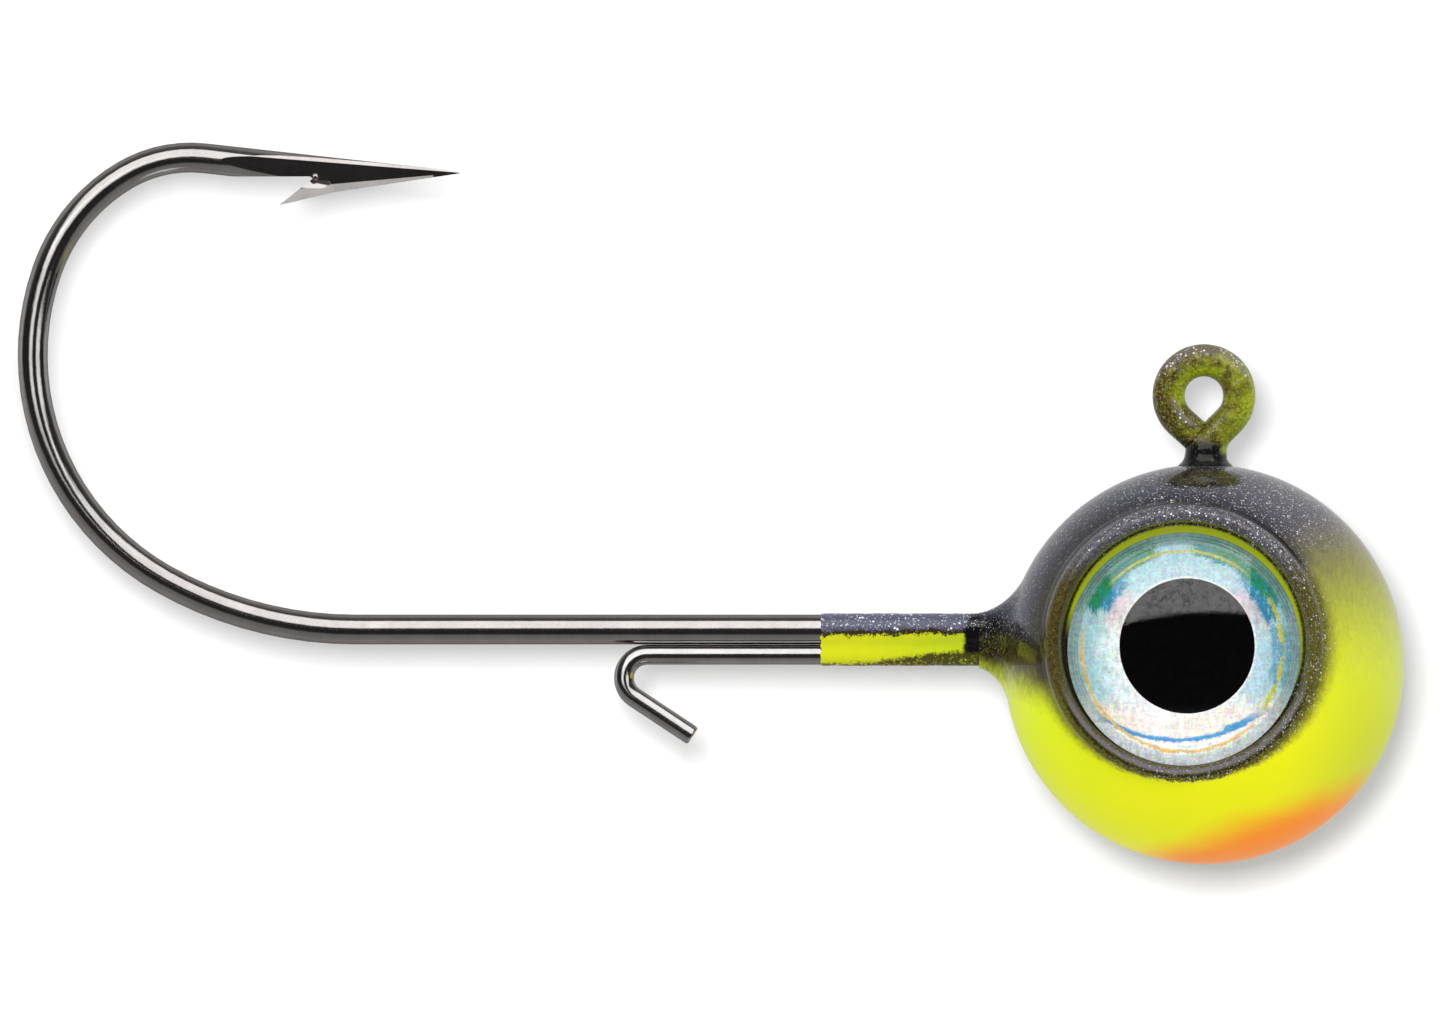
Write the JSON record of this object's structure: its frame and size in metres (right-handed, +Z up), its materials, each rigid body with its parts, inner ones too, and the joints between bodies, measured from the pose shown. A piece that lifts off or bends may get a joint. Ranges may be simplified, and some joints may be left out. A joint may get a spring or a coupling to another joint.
{
  "type": "jig head",
  "caption": "Ball-head fishing jig: painted lead ball cast on a wire hook with a ring line tie on top, large domed eyes and a wire bait keeper under the shank.",
  "frame": {"origin": "centre of the hole in the line tie's ring, on the plane that holds the hook's wire; the ball's centre is 8.05 mm below it", "axes": "+X along the straight shank towards the ball's nose, +Y to the jig's left and along the hole of the line tie, +Z up, from the ball towards the line tie and the hook's point"},
  "size_m": [0.0416, 0.0122, 0.0217],
  "materials": {
    "black_nickel": "polished black nickel on steel wire",
    "keeper_nickel": "polished nickel on steel wire",
    "lead": "dull cast lead",
    "head_paint": "glossy powder coat, chartreuse with glittery slate above and an orange patch below",
    "collar_paint": "glossy powder coat, chartreuse below and slate above",
    "line_tie_paint": "glossy powder coat, chartreuse under a speckle of dark glitter",
    "eye_adhesive": "clear-white pressure-sensitive pad",
    "eye_foil": "silver holographic foil with a white ring round the pupil",
    "eye_pupil": "black ink",
    "eye_lens": "clear domed resin"
  },
  "bodies": {
    "root": {"hook": "black_nickel", "keeper_wire": "keeper_nickel", "head_casting": "lead", "head_paint": "head_paint", "collar_paint": "collar_paint", "line_tie_paint": "line_tie_paint", "eye_adhesive_right": "eye_adhesive", "eye_foil_right": "eye_foil", "eye_pupil_right": "eye_pupil", "eye_lens_right": "eye_lens", "eye_adhesive_left": "eye_adhesive", "eye_foil_left": "eye_foil", "eye_pupil_left": "eye_pupil", "eye_lens_left": "eye_lens"}
  },
  "joints": []
}
